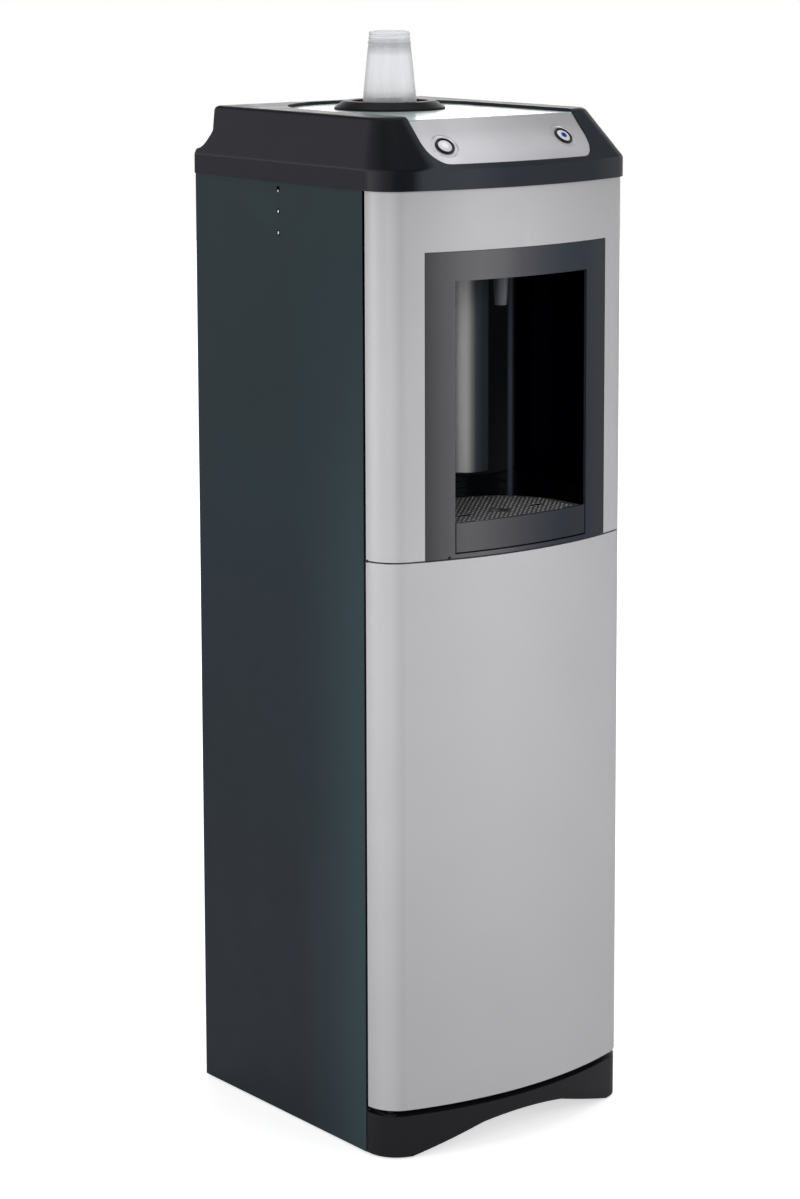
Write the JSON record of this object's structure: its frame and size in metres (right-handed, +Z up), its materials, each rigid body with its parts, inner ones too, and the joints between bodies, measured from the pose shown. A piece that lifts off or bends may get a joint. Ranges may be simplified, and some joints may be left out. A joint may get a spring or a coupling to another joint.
{
  "type": "bottom load water cooler",
  "caption": "Floor-standing water cooler with a bottle bay behind a bowed door, a dispensing alcove over a drip tray, push buttons on a sloped cap, and a cup dispenser in its glass top.",
  "frame": {"origin": "on the floor, at the middle of the overall width and depth", "axes": "+X the user's right, -Y the front with the door and alcove, +Z up"},
  "size_m": [0.32, 0.3438, 1.11],
  "materials": {
    "side_steel": "satin powder coat, dark slate",
    "silver_front": "satin silver lacquer",
    "black_trim": "fine moulded texture",
    "cap_black": "satin moulded",
    "bezel_grey": "dark grey, semi-gloss",
    "alcove_gloss": "gloss black",
    "column_silver": "satin grey",
    "tray_dark": "dark grey, satin",
    "nozzle_white": "pale grey",
    "panel_silver": "satin silver",
    "ring_dark": "dark grey",
    "button_face": "satin silver",
    "mark_pale": "pale",
    "mark_blue": "blue",
    "top_glass": "pale green tint, polished",
    "collar_black": "satin moulded",
    "cup_clear": "thin, milky",
    "inner_moulding": "pale grey moulding",
    "galvanised": "zinc-coated sheet",
    "spring_steel": "drawn wire",
    "magnet_black": "magnetic block",
    "compressor_black": "black enamel",
    "condenser_black": "black enamel",
    "stainless": "stainless",
    "copper": "drawn copper tube",
    "foam": "closed-cell foam",
    "rubber_black": "moulded rubber",
    "silicone": "translucent silicone",
    "part_dark": "moulded",
    "board_green": "solder mask"
  },
  "bodies": {
    "cabinet": {"left_side_panel": "side_steel", "right_side_panel": "side_steel", "hole_plugs": "inner_moulding", "feet": "rubber_black", "base_pan": "galvanised", "plinth": "black_trim", "back_panel": "galvanised", "mid_shelf": "galvanised", "lower_hinge": "galvanised", "upper_hinge": "galvanised", "door_magnet": "magnet_black", "upper_front": "silver_front", "alcove_bezel": "bezel_grey", "alcove_liner": "alcove_gloss", "light_column": "column_silver", "nozzle": "nozzle_white", "cold_valve": "part_dark", "ambient_valve": "part_dark", "nozzle_manifold": "inner_moulding", "nozzle_lines": "silicone", "cap": "cap_black", "top_plate": "top_glass", "control_panel": "panel_silver", "control_board": "board_green", "cup_collar": "collar_black", "cup_tube": "inner_moulding", "follower_spring": "spring_steel", "compressor": "compressor_black", "compressor_mounts": "rubber_black", "cold_tank": "stainless", "evaporator_coil": "copper", "tank_insulation": "foam", "filter_drier": "copper", "condenser_tube": "condenser_black", "condenser_wires": "condenser_black", "condenser_clips": "inner_moulding", "suction_line": "copper", "supply_pump": "part_dark", "bulkhead": "inner_moulding", "probe_hose": "silicone", "probe_holder": "inner_moulding", "water_lines": "silicone", "power_inlet": "part_dark", "ambient_ring": "ring_dark", "cold_ring": "ring_dark", "ambient_spring": "spring_steel", "cold_spring": "spring_steel"},
    "door": {"door_skin": "silver_front", "door_liner": "inner_moulding", "hinge_bushes": "inner_moulding", "door_strike": "galvanised"},
    "ambient_button": {"ambient_button": "button_face", "ambient_mark": "mark_pale"},
    "cold_button": {"cold_button": "button_face", "cold_mark": "mark_blue"},
    "drip_tray": {"drip_tray": "tray_dark"},
    "drip_grille": {"drip_grille": "tray_dark"},
    "cup_follower": {"cup_follower": "inner_moulding"},
    "cup_stack": {"cup_stack": "cup_clear"},
    "probe": {"probe": "inner_moulding"}
  },
  "joints": [
    {"name": "door_hinge", "type": "hinge", "parent": "cabinet", "child": "door", "pos_m": [-0.143, -0.13105, 0.3], "axis": [0, 0, -1], "range_deg": [0, 110]},
    {"name": "ambient_button_slide", "type": "slide", "parent": "cabinet", "child": "ambient_button", "axis": [0, 0.6464, -0.763], "range_m": [0, 0.0025], "stiffness_N_per_m": 400, "springref_m": -0.001, "deforming": ["ambient_spring"]},
    {"name": "cold_button_slide", "type": "slide", "parent": "cabinet", "child": "cold_button", "axis": [0, 0.6464, -0.763], "range_m": [0, 0.0025], "stiffness_N_per_m": 400, "springref_m": -0.001, "deforming": ["cold_spring"]},
    {"name": "drip_tray_slide", "type": "slide", "parent": "cabinet", "child": "drip_tray", "axis": [0, -1, 0], "range_m": [0, 0.09]},
    {"name": "drip_grille_lift", "type": "slide", "parent": "drip_tray", "child": "drip_grille", "axis": [0, 0, 1], "range_m": [0, 0.025]},
    {"name": "cup_follower_slide", "type": "slide", "parent": "cabinet", "child": "cup_follower", "axis": [0, 0, 1], "range_m": [-0.08, 0.025], "stiffness_N_per_m": 40, "springref_m": 0.024, "deforming": ["follower_spring"]},
    {"name": "cup_stack_lift", "type": "slide", "parent": "cup_follower", "child": "cup_stack", "axis": [0, 0, 1], "range_m": [0, 0.16]},
    {"name": "probe_lift", "type": "slide", "parent": "cabinet", "child": "probe", "axis": [0, 0, 1], "range_m": [0, 0.03], "deforming": ["probe_hose"]}
  ]
}
